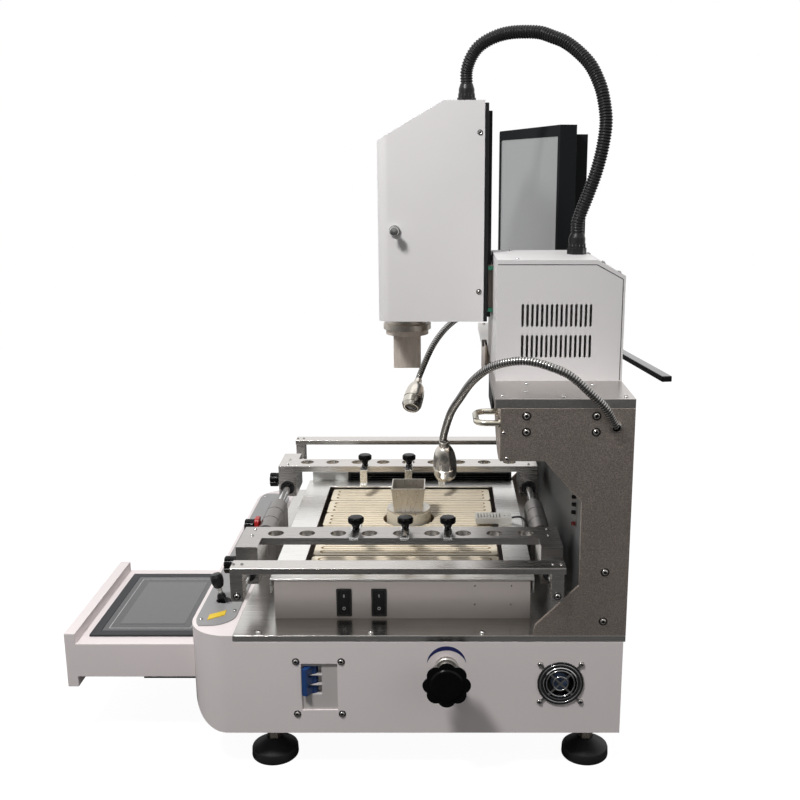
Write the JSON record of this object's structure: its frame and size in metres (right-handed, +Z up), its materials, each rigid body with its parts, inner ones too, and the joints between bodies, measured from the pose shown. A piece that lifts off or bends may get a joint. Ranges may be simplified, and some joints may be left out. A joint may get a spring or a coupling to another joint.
{
  "type": "bga rework station",
  "caption": "Bench station for desoldering chips: hot-air head on a column over an infrared preheater with a sliding board clamp and control drawer.",
  "frame": {"origin": "on the bench, midway across the base housing and 262 mm ahead of its back", "axes": "+Z up, -X towards the operator and the drawer, -Y the side with the breaker, lift knob and fan"},
  "size_m": [0.7909, 0.7134, 0.9085],
  "materials": {
    "white_paint": "smooth white powder coat",
    "deck_steel": "brushed stainless",
    "column_steel": "sandblasted stainless",
    "dark_sheet": "dark grey paint",
    "guide_steel": "ground steel",
    "console_grey": "matt grey overlay",
    "foot_rubber": "moulded rubber",
    "breaker_plastic": "grey moulding",
    "breaker_blue": "blue moulding",
    "fan_chrome": "chromed wire and frame",
    "fan_black": "black moulding",
    "slide_black": "black zinc plate",
    "bright_aluminium": "satin anodised",
    "shaft_chrome": "ground and chromed",
    "handle_steel": "polished",
    "finger_steel": "bright sheet",
    "knob_black": "black moulding",
    "black_fitting": "black moulding",
    "black_metal": "black paint",
    "optics_black": "black anodised",
    "monitor_black": "textured black moulding",
    "screen_grey": "dark grey moulding",
    "neck_steel": "wound steel",
    "lamp_steel": "turned",
    "nozzle_steel": "heat-tinted stainless",
    "turned_steel": "turned",
    "tile_ceramic": "cream glazed ceramic",
    "sensor_grey": "satin",
    "hose_black": "corrugated"
  },
  "bodies": {
    "base": {"base_housing": "white_paint", "motor_box": "white_paint", "preheater_case": "white_paint", "deck_plate": "deck_steel", "preheater_frame": "deck_steel", "near_panel": "column_steel", "far_panel": "column_steel", "column_top": "column_steel", "apron": "column_steel", "column_core": "dark_sheet", "cooling_fan": "dark_sheet", "head_guide": "guide_steel", "console_panel": "console_grey", "levelling_feet": "foot_rubber", "breaker_body": "breaker_plastic", "fan_frame": "fan_chrome", "drawer_rails": "slide_black", "pillow_blocks": "bright_aluminium", "grab_handle": "handle_steel", "box_gland": "black_fitting", "rear_bar": "black_metal", "monitor_post": "black_metal", "lamp_necks": "neck_steel", "lamp_heads": "lamp_steel", "heater_tiles": "tile_ceramic", "sensor_block": "sensor_grey", "hose": "hose_black"},
    "drawer": {"drawer": "white_paint", "screen_bezel": "screen_grey", "drawer_runners": "slide_black"},
    "slide_middle": {"slide_middle": "slide_black"},
    "joystick_yoke": {"joystick_yoke": "turned_steel"},
    "joystick": {"joystick": "black_fitting"},
    "breaker_lever": {"breaker_lever": "breaker_blue"},
    "fan_rotor": {"fan_rotor": "fan_black"},
    "lift_knob": {"lift_knob": "knob_black", "lift_shaft": "turned_steel"},
    "lower_heater": {"lower_heater": "nozzle_steel", "lower_nozzle": "nozzle_steel"},
    "left_rocker": {"left_rocker": "black_fitting"},
    "right_rocker": {"right_rocker": "black_fitting"},
    "board_frame": {"frame_bars": "bright_aluminium", "guide_shafts": "shaft_chrome"},
    "near_clamp": {"near_clamp_rail": "bright_aluminium", "near_fingers": "finger_steel", "near_thumbscrews": "knob_black"},
    "far_clamp": {"far_clamp_rail": "bright_aluminium", "far_fingers": "finger_steel", "far_thumbscrews": "knob_black"},
    "near_clamp_knob": {"near_clamp_knob": "knob_black"},
    "far_clamp_knob": {"far_clamp_knob": "knob_black"},
    "frame_lock_knob": {"frame_lock_knob": "knob_black"},
    "head": {"head_back_plate": "black_metal", "head_cover": "white_paint", "head_gland": "black_fitting", "nozzle_ring": "nozzle_steel"},
    "head_knob": {"head_knob": "turned_steel"},
    "upper_nozzle": {"upper_nozzle": "nozzle_steel"},
    "optics": {"optics_box": "optics_black"},
    "monitor": {"monitor": "monitor_black"}
  },
  "joints": [
    {"name": "drawer_slide", "type": "slide", "parent": "base", "child": "drawer", "axis": [1, 0, 0], "range_m": [0, 0.156]},
    {"name": "slide_middle_travel", "type": "slide", "parent": "base", "child": "slide_middle", "axis": [1, 0, 0], "range_m": [0, 0.078]},
    {"name": "joystick_fore_aft", "type": "hinge", "parent": "base", "child": "joystick_yoke", "pos_m": [-0.239, -0.182, 0.174], "axis": [0, 1, 0], "range_deg": [-12, 12], "stiffness_Nm_per_rad": 0.3},
    {"name": "joystick_side", "type": "hinge", "parent": "joystick_yoke", "child": "joystick", "pos_m": [-0.239, -0.182, 0.174], "axis": [1, 0, 0], "range_deg": [-12, 12], "stiffness_Nm_per_rad": 0.3},
    {"name": "breaker_toggle", "type": "hinge", "parent": "base", "child": "breaker_lever", "pos_m": [-0.1155, -0.2675, 0.123], "axis": [0, 0, 1], "range_deg": [0, 56]},
    {"name": "fan_spin", "type": "hinge", "parent": "base", "child": "fan_rotor", "pos_m": [0.1875, -0.264, 0.1205], "axis": [0, 1, 0], "continuous": true},
    {"name": "lower_nozzle_lift", "type": "slide", "parent": "base", "child": "lower_heater", "axis": [0, 0, 1], "range_m": [-0.025, 0]},
    {"name": "lift_knob_turn", "type": "hinge", "parent": "base", "child": "lift_knob", "pos_m": [0.0488, -0.31, 0.142], "axis": [0, 1, 0], "range_deg": [-104, 0]},
    {"name": "left_rocker_tilt", "type": "hinge", "parent": "base", "child": "left_rocker", "pos_m": [-0.0785, -0.224, 0.2045], "axis": [1, 0, 0], "range_deg": [0, 10]},
    {"name": "right_rocker_tilt", "type": "hinge", "parent": "base", "child": "right_rocker", "pos_m": [-0.035, -0.224, 0.2045], "axis": [1, 0, 0], "range_deg": [0, 10]},
    {"name": "board_frame_slide", "type": "slide", "parent": "base", "child": "board_frame", "axis": [0, 1, 0], "range_m": [-0.015, 0.015]},
    {"name": "near_clamp_slide", "type": "slide", "parent": "board_frame", "child": "near_clamp", "axis": [0, 1, 0], "range_m": [-0.034, 0.048]},
    {"name": "far_clamp_slide", "type": "slide", "parent": "board_frame", "child": "far_clamp", "axis": [0, 1, 0], "range_m": [-0.042, 0.07]},
    {"name": "near_clamp_knob_turn", "type": "hinge", "parent": "near_clamp", "child": "near_clamp_knob", "pos_m": [-0.224, -0.195, 0.24], "axis": [1, 0, 0], "continuous": true},
    {"name": "far_clamp_knob_turn", "type": "hinge", "parent": "far_clamp", "child": "far_clamp_knob", "pos_m": [-0.224, 0.158, 0.24], "axis": [1, 0, 0], "continuous": true},
    {"name": "frame_lock_knob_turn", "type": "hinge", "parent": "base", "child": "frame_lock_knob", "pos_m": [-0.224, -0.058, 0.24], "axis": [1, 0, 0], "continuous": true},
    {"name": "head_lift", "type": "slide", "parent": "base", "child": "head", "axis": [0, 0, 1], "range_m": [-0.17, 0], "deforming": ["hose"]},
    {"name": "head_knob_turn", "type": "hinge", "parent": "head", "child": "head_knob", "pos_m": [-0.017, -0.1, 0.653], "axis": [0, 1, 0], "continuous": true},
    {"name": "nozzle_turn", "type": "hinge", "parent": "head", "child": "upper_nozzle", "pos_m": [-0.005, 0, 0.49], "axis": [0, 0, 1], "continuous": true},
    {"name": "optics_slide", "type": "slide", "parent": "base", "child": "optics", "axis": [-1, 0, 0], "range_m": [0, 0.132]},
    {"name": "monitor_swivel", "type": "hinge", "parent": "base", "child": "monitor", "pos_m": [0.239, 0.222, 0.653], "axis": [0, 0, 1], "range_deg": [-15, 15]}
  ],
  "couplings": [
    {"joint": "slide_middle_travel", "follows": "drawer_slide", "ratio": 0.5},
    {"joint": "lift_knob_turn", "follows": "lower_nozzle_lift", "rad_per_m": 72.464}
  ]
}
